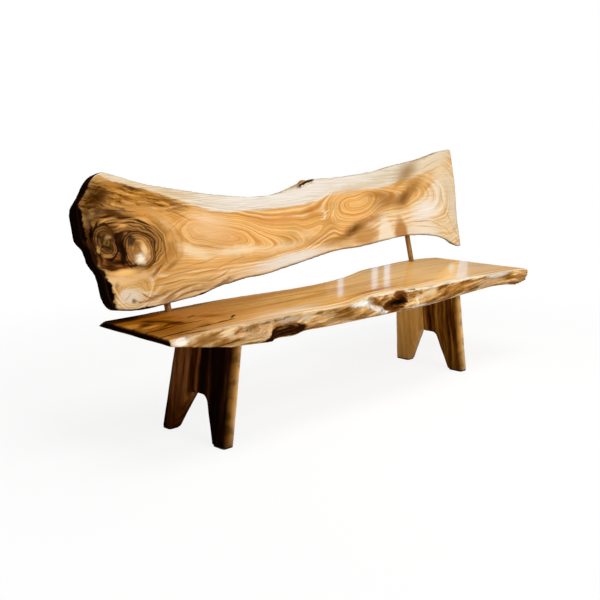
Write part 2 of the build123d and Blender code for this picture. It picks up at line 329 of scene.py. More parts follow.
def surface(tree, colour, roughness, shine, relief):
    shader = put(
        tree, "BsdfPrincipled",
        {"Base Color": colour, "Roughness": roughness, "Specular IOR Level": shine, "Normal": relief},
    )
    put(tree, "OutputMaterial", {"Surface": shader})


# wood of the slabs: the log's heart runs along each slab at a changing depth

def growthRings(tree, look):
    # radius: how far out of the heart a place lies, 0 at the heart and 1 at the rims, with humps at the knots
    reach, span = metres(look["reach"]), metres(look["span"])
    grain = put(tree, "Attribute", attribute_name="grain").outputs["Vector"]
    spot = frayed(tree, grain, look["warpWidth"], look["warpSize"], 3.0, 0.5)
    parts = put(tree, "SeparateXYZ", {0: spot})
    height = parts.outputs["Y"]
    along = put(tree, "MapRange", {0: parts.outputs["X"], 1: reach[0], 2: reach[1]})
    lines = {}
    for line in ("top", "bottom", "heart", "sapTop", "sapBottom"):
        curve = fillCurve(put(tree, "FloatCurve", {"Value": along}), look[line], look["reach"], look["span"])
        lines[line] = put(tree, "MapRange", {0: curve, 3: span[0], 4: span[1]}, clamp=False)
    depth = fillCurve(put(tree, "FloatCurve", {"Value": along}), look["depth"], look["reach"], (0, 1))
    fromHeart = put(tree, "Math", {0: height, 1: lines["heart"]}, operation="SUBTRACT")
    halves = []
    for line in ("top", "bottom"):
        room = put(tree, "Math", {0: lines[line], 1: lines["heart"]}, operation="SUBTRACT")
        halves.append(put(tree, "Math", {0: fromHeart, 1: room}, operation="DIVIDE"))
    lateral = put(tree, "Math", {0: halves[0], 1: halves[1]}, operation="MAXIMUM")
    pair = put(tree, "CombineXYZ", {0: lateral, 1: depth})
    radius = put(tree, "VectorMath", {0: pair}, operation="LENGTH").outputs["Value"]
    for *place, rise in look["knots"]:
        inward = blot(tree, spot, place, "QUADRATIC_SPHERE")
        radius = put(tree, "Math", {0: inward, 1: rise, 2: radius}, operation="MULTIPLY_ADD")
    return spot, height, lines, radius


def sapwood(tree, look, face, height, lines, rings, fibres):
    # pale wood above the upper line and below the lower one, with a fringe of fibres between
    fringe, soft = metres((look["sapFringe"], look["sapSoft"]))
    rims = {
        "top": put(tree, "Math", {0: height, 1: lines["sapTop"]}, operation="SUBTRACT"),
        "low": put(tree, "Math", {0: lines["sapBottom"], 1: height}, operation="SUBTRACT"),
    }
    masks = {}
    for rim, past in rims.items():
        past = put(tree, "Math", {0: fibres, 1: fringe, 2: past}, operation="MULTIPLY_ADD")
        masks[rim] = put(
            tree, "MapRange", {0: past, 1: fringe / 2 - soft, 2: fringe / 2 + soft},
            interpolation_type="SMOOTHSTEP",
        )
        blend = put(tree, "Mix", {0: look[rim + "SapFibre"], 2: rings, 3: fibres})
        sap = fillRamp(put(tree, "ValToRGB", {0: blend}), look[rim + "SapColours"])
        face = put(tree, "MixRGB", {0: masks[rim], 1: face, 2: sap})
    return face, masks["top"]


def burlWood(tree, look, face, rings, spot, torn, sapMask):
    # spalted burl below the upper sapwood, then the rings of its knots, and smoke over both
    calm = frayed(tree, spot, [62.5] * 3, (28, 28, 0), 1.0)
    tilted = put(tree, "Mapping", {"Vector": torn, "Rotation": (0, 0, radians(look["burlTilt"]))})
    char = stretched(tree, tilted, look["burlWidth"], 6.0, 0.66)
    mixed = put(tree, "Mix", {0: 0.70, 2: rings, 3: char})
    burl = fillRamp(put(tree, "ValToRGB", {0: mixed}), look["burlColours"])
    inner = put(tree, "Math", {0: 1.0, 1: sapMask}, operation="SUBTRACT")
    mask = put(tree, "Math", {0: anyOf(tree, torn, look["burls"]), 1: inner}, operation="MULTIPLY")
    face = put(tree, "MixRGB", {0: mask, 1: face, 2: burl})
    face = eyes(tree, calm, face, look["eyes"])
    smoke = fillRamp(put(tree, "ValToRGB", {0: char}), [(0.38, 0.5), (0.5, 1.0), (0.62, 1.2)])
    smoky = put(tree, "Math", {0: mask, 1: 0.6}, operation="MULTIPLY")
    return put(tree, "MixRGB", {0: smoky, 1: face, 2: smoke}, blend_type="MULTIPLY")


def sawnFace(tree, look, own):
    spot, height, lines, radius = growthRings(tree, look)
    torn = frayed(tree, spot, look["tearWidth"], look["tearSize"])
    smooth = frayed(tree, spot, [200] * 3, (50, 50, 0), 0.0)
    ringCount = look["halfWidth"] / look["ringWidth"]
    rings = put(
        tree, "TexNoise", {"W": radius, "Scale": ringCount, "Detail": 5.0, "Roughness": 0.66},
        noise_dimensions="1D",
    )
    thin = put(
        tree, "TexNoise", {"W": radius, "Scale": ringCount * 1.7, "Detail": 1.0, "Roughness": 0.5},
        noise_dimensions="1D",
    )
    line = fillRamp(put(tree, "ValToRGB", {0: thin}), [(0.47, 0.0), (0.5, 1.0), (0.53, 0.0)])
    fibres = stretched(tree, own, look["fibreWidth"], 4.0)
    cloud = stretched(tree, own, look["cloudWidth"], 2.0, 0.5)

    face = fillRamp(put(tree, "ValToRGB", {0: rings}), look["heartColours"])
    lineMask = put(tree, "Math", {0: line, 1: cloud}, operation="MULTIPLY")
    face = put(tree, "MixRGB", {0: lineMask, 1: face, 2: linear(look["lineColour"])})
    drift = fillRamp(put(tree, "ValToRGB", {0: cloud}), [(0.35, 0.74), (0.5, 1.0), (0.65, 1.14)])
    face = put(tree, "MixRGB", {0: look["cloudShade"], 1: face, 2: drift}, blend_type="MULTIPLY")
    face, sapMask = sapwood(tree, look, face, height, lines, rings, fibres)
    face = stains(tree, torn, face, look["tints"])
    if "burls" in look:
        face = burlWood(tree, look, face, rings, spot, torn, sapMask)
    face = stains(tree, smooth, face, look["flows"])
    face = stains(tree, torn, face, look["stains"])
    grainShade = fillRamp(put(tree, "ValToRGB", {0: fibres}), [(0.35, 0.80), (0.5, 1.0), (0.65, 1.08)])
    face = put(tree, "MixRGB", {0: look["fibreShade"], 1: face, 2: grainShade}, blend_type="MULTIPLY")

    # a dark band of wandering width runs along the arris, darkest along the lower edge
    edge = put(tree, "Attribute", attribute_name="edge").outputs["Fac"]
    darkBandWidth = put(tree, "Math", {0: cloud, 1: look["arrisWidth"] / 1000}, operation="MULTIPLY")
    arris = put(
        tree, "MapRange", {0: edge, 2: darkBandWidth, 3: look["arrisShade"], 4: 0.0}, interpolation_type="SMOOTHSTEP"
    )
    low = put(tree, "Math", {0: height, 1: lines["heart"]}, operation="LESS_THAN")
    lower = put(tree, "MapRange", {0: low, 3: 0.35})
    arris = put(tree, "Math", {0: arris, 1: lower}, operation="MULTIPLY")
    return put(tree, "MixRGB", {0: arris, 1: face, 2: linear(look["arrisColour"])}), rings


def barkSide(tree, look, own):
    # peeled wood, mottled from the cambium, with bark left in the hollows, and painted shade in the deepest
    # of them
    slant = put(tree, "Mapping", {"Vector": own, "Rotation": (0, radians(look["slant"]), 0)})
    mottle = stretched(tree, slant, look["mottleWidth"], 6.0, 0.66, Distortion=0.4)
    side = fillRamp(put(tree, "ValToRGB", {0: mottle}), look["sideColours"])
    torn = frayed(tree, own, look["sideTearWidth"], look["sideTearSize"])
    parts = put(tree, "SeparateXYZ", {0: torn})
    spot = put(tree, "CombineXYZ", {0: parts.outputs["X"], 1: parts.outputs["Z"]})
    side = stains(tree, spot, side, look["sideStains"])
    side = eyes(tree, spot, side, look["sideEyes"])
    speck = fillRamp(put(tree, "ValToRGB", {0: mottle}), [(0.35, 0.55), (0.5, 1.0), (0.62, 1.2)])
    side = put(tree, "MixRGB", {0: look["speck"], 1: side, 2: speck}, blend_type="MULTIPLY")
    end = put(tree, "Attribute", attribute_name="end").outputs["Fac"]
    # faces turned left at the left end get a painted shade, near black
    return put(tree, "MixRGB", {0: end, 1: side, 2: linear("#120703")}), mottle


def slabMaterial(name, look):
    # sanded hardwood under satin varnish: clear wood shines softly, bark and dark places stay dull, the
    # painted shade at the left end among them
    material, tree = emptyMaterial(name)
    own = put(tree, "Attribute", attribute_name="grain").outputs["Vector"]
    isSide = put(tree, "Attribute", attribute_name="side").outputs["Fac"]
    face, rings = sawnFace(tree, look, own)
    side, mottle = barkSide(tree, look, own)
    colour = put(tree, "MixRGB", {0: isSide, 1: face, 2: side})
    grey = put(tree, "RGBToBW", {0: colour})
    shine = put(tree, "MapRange", {0: grey, 1: look["dull"], 2: 0.28, 4: look["shine"]})
    satin = put(tree, "MapRange", {0: grey, 1: 0.02, 2: 0.30, 3: 0.55, 4: look["roughness"]})
    roughness = put(tree, "MapRange", {0: isSide, 3: satin, 4: 0.45})
    # rings are felt as 0.03 mm of relief under the varnish, the bark side as 2.5 mm
    height = put(tree, "Mix", {0: isSide, 2: rings, 3: mottle})
    deep = put(tree, "MapRange", {0: isSide, 3: 0.00003, 4: 0.0025})
    relief = put(tree, "Bump", {"Height": height, "Strength": 0.6, "Distance": deep})
    surface(tree, colour, roughness, shine, relief)
    return material


# seat slab

seat = {
    "thickness": 68,
    "grid": 5.5,  # spacing of the surface points
    "rounding": 3,  # smoothing passes that wear the arrises round
    # waves of the bark side: height, width along each axis, and a number that moves them on
    "waves": [(3.0, (80, 80, 40), 1), (1.6, (40, 40, 12), 2)],
    # lines of the figure, as places along the slab and across it; reach and span hold all of them
    "reach": (-1200, 950),
    "span": (-400, 270),
    "top": [
        (-1180, 98), (-1027, 97), (-722, 111), (-477, 102), (-197, 78), (-32, 90), (183, 140),
        (333, 193), (493, 213), (663, 232), (813, 228), (930, 188),
    ],
    "bottom": [
        (-1180, -290), (-897, -268), (-717, -286), (-527, -303), (-417, -322), (-307, -312),
        (-217, -280), (-55, -249), (123, -275), (413, -280), (583, -302), (868, -323), (920, -363),
    ],
    "heart": [
        (-1180, -60), (-600, -50), (0, -60), (400, -20), (930, -50),
    ],
    # how far the heart lies behind the face, as a share of the half width
    "depth": [
        (-1180, 0.15), (-900, 0.25), (-500, 0.3), (0, 0.35), (500, 0.25), (930, 0.2),
    ],
    "sapTop": [
        (-1180, 270), (930, 270),
    ],
    "sapBottom": [
        (-1180, -285), (-900, -245), (-700, -245), (-500, -255), (-350, -275), (-250, -255),
        (-150, -235), (0, -225), (150, -240), (400, -250), (600, -275), (930, -330),
    ],
    # humps in the rings: x, y, half width, half height, tilt, height
    "knots": [
        (-1100, -70, 160, 120, 0, 0.6),
        (-450, -200, 300, 100, 4, 0.15),
    ],
    "halfWidth": 180,
    "ringWidth": 12,  # width of one growth ring
    "warpWidth": (200, 55.56, 71.43),  # the whole figure wanders in humps of this width
    "warpSize": (30, 14, 0),
    "tearWidth": (45.45, 25, 45.45),  # and the ragged patches tear in humps of this one
    "tearSize": (50, 20, 0),
    "fibreWidth": (200, 3.125, 6.25),  # coarser than real fibres, so that they show
    "cloudWidth": (333.3, 111.1, 111.1),
    "topSapFibre": 0.6,  # share of fibres against rings in the sapwood
    "lowSapFibre": 0.6,
    "sapFringe": 35,
    "sapSoft": 8,
    "fibreShade": 0.6,
    "cloudShade": 0.5,
    "arrisWidth": 6,
    "arrisShade": 0.0,
    "arrisColour": "#5a3a1c",
    "heartColours": [
        (0.3, "#b87420"), (0.41, "#d8983a"), (0.5, "#ecb050"), (0.59, "#f4c068"), (0.72, "#f8cf84"),
    ],
    "lineColour": "#a8681c",
    "topSapColours": [(0.3, "#c39a68"), (0.47, "#dcc09a"), (0.62, "#eedfc8")],
    "lowSapColours": [(0.34, "#b98340"), (0.44, "#d6a868"), (0.53, "#e6c896"), (0.66, "#f3e4c8")],
    # broad ragged areas of the face
    "tints": [
        (-1050, 0, 800, 600, 0, "#9c5a04", 0.9, 0.9),
        (-1120, -50, 240, 340, 0, "#7e4602", 0.85, 0.6),
        (-450, 45, 650, 60, 0, "#a2641c", 0.6, 1.0),
        (-300, -115, 600, 20, 0, "#b0702e", 0.4, 1.0),
        (100, -150, 300, 30, 5, "#a8692c", 0.45, 1.0),
        (550, -50, 450, 220, 0, "#eab06a", 0.35, 1.0),
        (800, -120, 200, 200, 0, "#d9b283", 0.55, 0.8),
        (500, -225, 160, 45, 6, "#efd6b2", 0.75, 0.8),
        (720, -50, 140, 50, 0, "#ecd2b0", 0.55, 0.9),
        (-500, -222, 240, 40, 4, "#ccae84", 0.8, 0.9),
        (500, -20, 750, 360, 0, "#f4c47a", 0.65, 0.9),
        (300, -212, 160, 24, 6, "#c08030", 0.8, 0.9),
        (850, -110, 120, 80, 0, "#bd9560", 0.5, 0.9),
        # a painted reflection: window glare streaking across the varnish
        (690, -70, 260, 22, 34, "#ecdfca", 0.8, 0.8),
        (-660, -240, 200, 16, 0, "#dcc8a8", 0.5, 0.8),
        (-80, -195, 200, 20, 8, "#98560c", 0.95, 0.9),
    ],
    # smooth lines of the figure, drawn along the grain
    "flows": [
        (-1090, 55, 50, 36, 0, "#421e06", 0.85, 0.8),
        (-1060, -40, 80, 30, -24, "#4a2408", 0.85, 0.8),
        (-1010, -90, 60, 10, -62, "#4a2408", 0.8, 0.8),
        (-990, 12, 110, 6, -6, "#7a3e0c", 0.8, 0.8),
        (-930, -30, 120, 6, -3, "#8a4c12", 0.7, 0.8),
        (-900, -120, 120, 12, 8, "#cf8a2c", 0.6, 0.9),
        (-1120, -100, 50, 16, 10, "#d08a24", 0.7, 0.9),
        (-1000, -220, 120, 10, 4, "#c88426", 0.6, 0.9),
        (-700, -15, 300, 4, 1, "#8a4e14", 0.6, 0.9),
        (-780, 30, 200, 4, -2, "#8a4e14", 0.6, 0.9),
        (-420, 30, 300, 5, 1, "#9a5e22", 0.6, 0.9),
        (-600, -100, 250, 5, 2, "#9a5e22", 0.6, 0.9),
        (-350, -130, 220, 6, 4, "#a8692c", 0.6, 0.9),
        (200, -80, 300, 6, 4, "#c08440", 0.5, 0.9),
        (450, 60, 300, 6, 5, "#c88c48", 0.5, 0.9),
    ],
    # ragged marks over both, most of them in the dark heart at the left end
    "stains": [
        (-1130, 60, 140, 45, 0, "#2e1404", 0.95, 0.5),
        (-1105, -60, 45, 30, 25, "#331704", 0.9, 0.8),
        (-1150, -45, 45, 40, 0, "#cf8a22", 0.85, 0.9),
        (-1000, 48, 110, 28, 4, "#4e260a", 0.75, 0.8),
        (-850, -95, 90, 45, -32, "#864c0c", 0.9, 0.8),
        (-955, -195, 60, 22, 30, "#7c4a14", 0.7, 0.8),
        (-1060, -120, 60, 10, 24, "#2a1204", 0.85, 0.8),
        (-905, -60, 50, 8, 30, "#4a240a", 0.85, 0.8),
        (-1050, -40, 80, 18, -50, "#3d1c06", 0.9, 0.6),
        (-1010, -105, 40, 35, 20, "#3d1c06", 0.9, 0.6),
        (-1020, -10, 120, 10, -10, "#5a2c0a", 0.7, 0.8),
        (-1120, -155, 110, 9, 8, "#2a1204", 0.95, 0.6),
        (-970, -135, 120, 7, 2, "#4a240a", 0.85, 0.7),
        (-920, -205, 150, 8, 6, "#2a1204", 0.95, 0.6),
        (-800, -165, 50, 7, 38, "#2a1204", 0.95, 0.6),
        (-1100, -235, 120, 9, 5, "#2a1204", 0.9, 0.6),
        (-1070, -262, 110, 7, -4, "#241003", 0.85, 0.7),
        (-720, 68, 220, 4, -2, "#6b3a10", 0.6, 0.8),
        (-550, -60, 300, 4, 1, "#7a4414", 0.5, 0.8),
        (-350, 15, 400, 5, 1, "#8a5018", 0.5, 0.8),
        (0, -195, 200, 20, 4, "#9a5c1c", 0.9, 0.9),
        (-1070, 96, 170, 18, 0, "#120803", 1.0, 0.35),
        # a near-black strip along the left end: painted shade, carried on from the end face
        (-1190, -100, 18, 220, 0, "#120803", 0.9, 0.6),
    ],
    "slant": 6.0,  # of the mottle on the bark side
    "mottleWidth": (125, 71.43, 13.16),
    "speck": 0.7,
    "sideTearWidth": (18.18, 100, 8.333),
    "sideTearSize": (40, 0, 16),
    "sideColours": [
        (0.34, "#6c3f14"), (0.43, "#905c22"), (0.5, "#ac7a36"), (0.57, "#c49452"), (0.66, "#dcbc8c"),
    ],
    # along and down the front side
    "sideStains": [
        (300, -1, 750, 11, 0, "#eaddc6", 0.95, 0.4),
        (-800, -3, 300, 7, 0, "#cbb080", 0.7, 0.6),
        (-450, -1, 250, 6, 0, "#8a6840", 0.6, 0.7),
        (-1133, -13, 42, 22, 0, "#efe6d6", 0.95, 0.5),
        (-1085, -12, 35, 14, 0, "#cdb48c", 0.8, 0.7),
        (-1020, -28, 85, 26, 0, "#8a5e26", 0.8, 0.7),
        (-1100, -55, 100, 22, 0, "#2e1606", 0.8, 0.7),
        (-925, -22, 30, 20, 0, "#cbac80", 0.8, 0.7),
        (-870, -45, 70, 16, 20, "#b88c50", 0.7, 0.7),
        (-980, -50, 50, 14, 0, "#7a4c18", 0.7, 0.7),
        # these two: painted shade in the deep hollow
        (-680, -50, 130, 28, 0, "#2c1304", 1.0, 0.25),
        (-745, -62, 110, 14, 0, "#210e04", 1.0, 0.4),
        (-700, -36, 40, 5, 6, "#7a5228", 0.9, 0.8),
        (-630, -34, 20, 6, 0, "#6b4824", 0.8, 0.8),
        (-700, -50, 90, 3, 8, "#4a2a12", 0.8, 0.8),
        (-680, -58, 80, 3, 4, "#502e14", 0.7, 0.8),
        (-650, -14, 85, 14, 0, "#ab9272", 0.85, 0.6),
        (-665, -25, 55, 6, 4, "#7a5630", 0.8, 0.8),
        (-660, -8, 50, 3, 8, "#5a4226", 0.7, 0.8),
        (-560, -20, 40, 16, 0, "#bca888", 0.8, 0.7),
        (-505, -12, 30, 8, 0, "#7d5830", 0.8, 0.8),
        (-460, -24, 70, 8, 0, "#bfa076", 0.7, 0.7),
        (-375, -40, 110, 22, 0, "#8f6026", 0.8, 0.8),
        (-440, -48, 70, 12, 0, "#a07844", 0.7, 0.7),
        (-310, -58, 80, 8, 0, "#74481a", 0.8, 0.7),
        (-262, -8, 105, 18, -4, "#ece6dc", 0.95, 0.6),
        (-180, -42, 85, 18, -18, "#ddd4c8", 0.95, 0.7),
        (-145, -56, 50, 12, 0, "#dfd8cc", 0.9, 0.7),
        (-165, -10, 50, 7, 10, "#9a7448", 0.85, 0.8),
        (-300, -30, 50, 4, 14, "#a8845a", 0.8, 0.8),
        (-235, -36, 40, 4, 24, "#8a6440", 0.9, 0.9),
        (-160, -24, 50, 5, 16, "#7a5430", 0.9, 0.9),
        (-175, -46, 45, 5, 18, "#8a6238", 0.8, 0.9),
        (-120, -40, 35, 6, 20, "#5e3614", 0.9, 0.9),
        (-130, -54, 45, 4, 16, "#f0e8dc", 0.9, 0.9),
        (55, -44, 45, 4, 32, "#efe4d2", 0.9, 0.9),
        (100, -4, 24, 5, 0, "#4a3018", 0.95, 0.6),
        (50, -59, 100, 6, 0, "#f3e8d2", 0.95, 0.7),
        (100, -28, 35, 12, 10, "#c4a478", 0.7, 0.7),
        (340, -46, 200, 12, 0, "#85500f", 0.85, 0.8),
        (180, -22, 90, 12, 6, "#dcc6a2", 0.7, 0.9),
        (240, -58, 160, 9, 0, "#85531c", 0.85, 0.7),
        (400, -28, 200, 12, 0, "#b67c36", 0.6, 0.8),
        (660, -42, 150, 24, 0, "#d9ab6c", 0.75, 0.6),
        # a painted highlight: white sheen on the front side
        (720, -10, 120, 18, 0, "#e4dbce", 0.9, 0.7),
        (200, -28, 60, 10, 10, "#d9b684", 0.6, 0.8),
        (350, -36, 50, 4, 0, "#8e561c", 0.8, 0.8),
        (480, -30, 60, 6, 0, "#d09a54", 0.6, 0.8),
        (0, -67, 600, 10, 0, "#653a10", 0.85, 0.7),
        (820, -60, 35, 16, 0, "#6e4114", 0.9, 0.6),
        (870, -42, 50, 30, 0, "#8a5c28", 0.8, 0.5),
    ],
    # a small knot and its ridge, then the knot hole and its black middle, which is painted shade in the hole
    "sideEyes": [
        (-822, -18, 58, 28, 24, [
            (0.0, "#cba676", 0.0), (0.14, "#a9803c", 0.5), (0.24, "#cba06a", 0.5),
            (0.34, "#98682c", 0.6), (0.46, "#c89c60", 0.6), (0.6, "#a07034", 0.6), (0.8, "#ae7c3e", 0.6),
            (1.0, "#966628", 0.6),
        ]),
        (-778, -34, 100, 7, 27, [
            (0.0, "#cba070", 0.0), (0.4, "#cfa878", 0.7), (1.0, "#d9b482", 0.8),
        ]),
        (-34, -35, 125, 20, 18, [
            (0.0, "#e0ccaa", 0.0), (0.1, "#c09a68", 0.6), (0.18, "#6e3e14", 0.9), (0.28, "#8a5420", 1.0),
            (0.36, "#4e280a", 1.0), (0.44, "#7a481a", 1.0), (0.55, "#42200a", 1.0),
            (0.66, "#5e3412", 1.0), (1.0, "#2e1606", 1.0),
        ]),
        (-22, -36, 60, 11, 18, [
            (0.0, "#1a0b03", 0.0), (0.45, "#170a03", 0.9), (1.0, "#0c0502", 1.0),
        ]),
    ],
    "dull": 0.10,  # grey under which nothing shines
    "shine": 0.45,
    "roughness": 0.105,
    # sound wood under the knot hole: a block's corners, in the order of a cube's own
    "lip": [
        (-165, -338, -68), (-165, -338, -58), (-165, -290, -68), (-165, -290, -60), (0, -340, -68),
        (0, -344, -46), (0, -290, -68), (0, -290, -50),
    ],
    # hollows in the front side: place along and down, half width, half height, tilt, depth
    "dents": [
        (-680, -50, 75, 14, 0, 9),
        (-24, -36, 40, 10, 21, 9),
        (30, -52, 60, 5, 4, -3),
        (-800, -42, 80, 7, 27, -4),
        (-200, -30, 30, 12, 35, 4),
    ],
    "frontFrom": -150,  # only what lies in front of this is dented
    "dentFade": 14,  # and less so this close to a face
}
seatSlab = boardFrom("seat_slab", "seatSlab", seatFrame, seat, [seat["lip"]])
points = coords(seatSlab)
onSide = sideAndEdge(seatSlab)
relief = waves(points, seat["waves"])
thickness, fade = metres((seat["thickness"], seat["dentFade"]))
front = points[:, 1] < seat["frontFrom"] / 1000
middle = np.clip(np.minimum(-points[:, 2], points[:, 2] + thickness) / fade, 0, 1)
for *place, depth in seat["dents"]:
    relief -= depth / 1000 * front * middle * hump(points, *place)
pushSide(seatSlab, onSide * relief)
seatSlab.data.materials.append(slabMaterial("satinSlabSeatWood", seat))
seatSlab.data.transform(seatFrame)
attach(seatSlab, "root")
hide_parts("seat_slab")
print("seat slab made,", len(points), "points")

# backrest slab

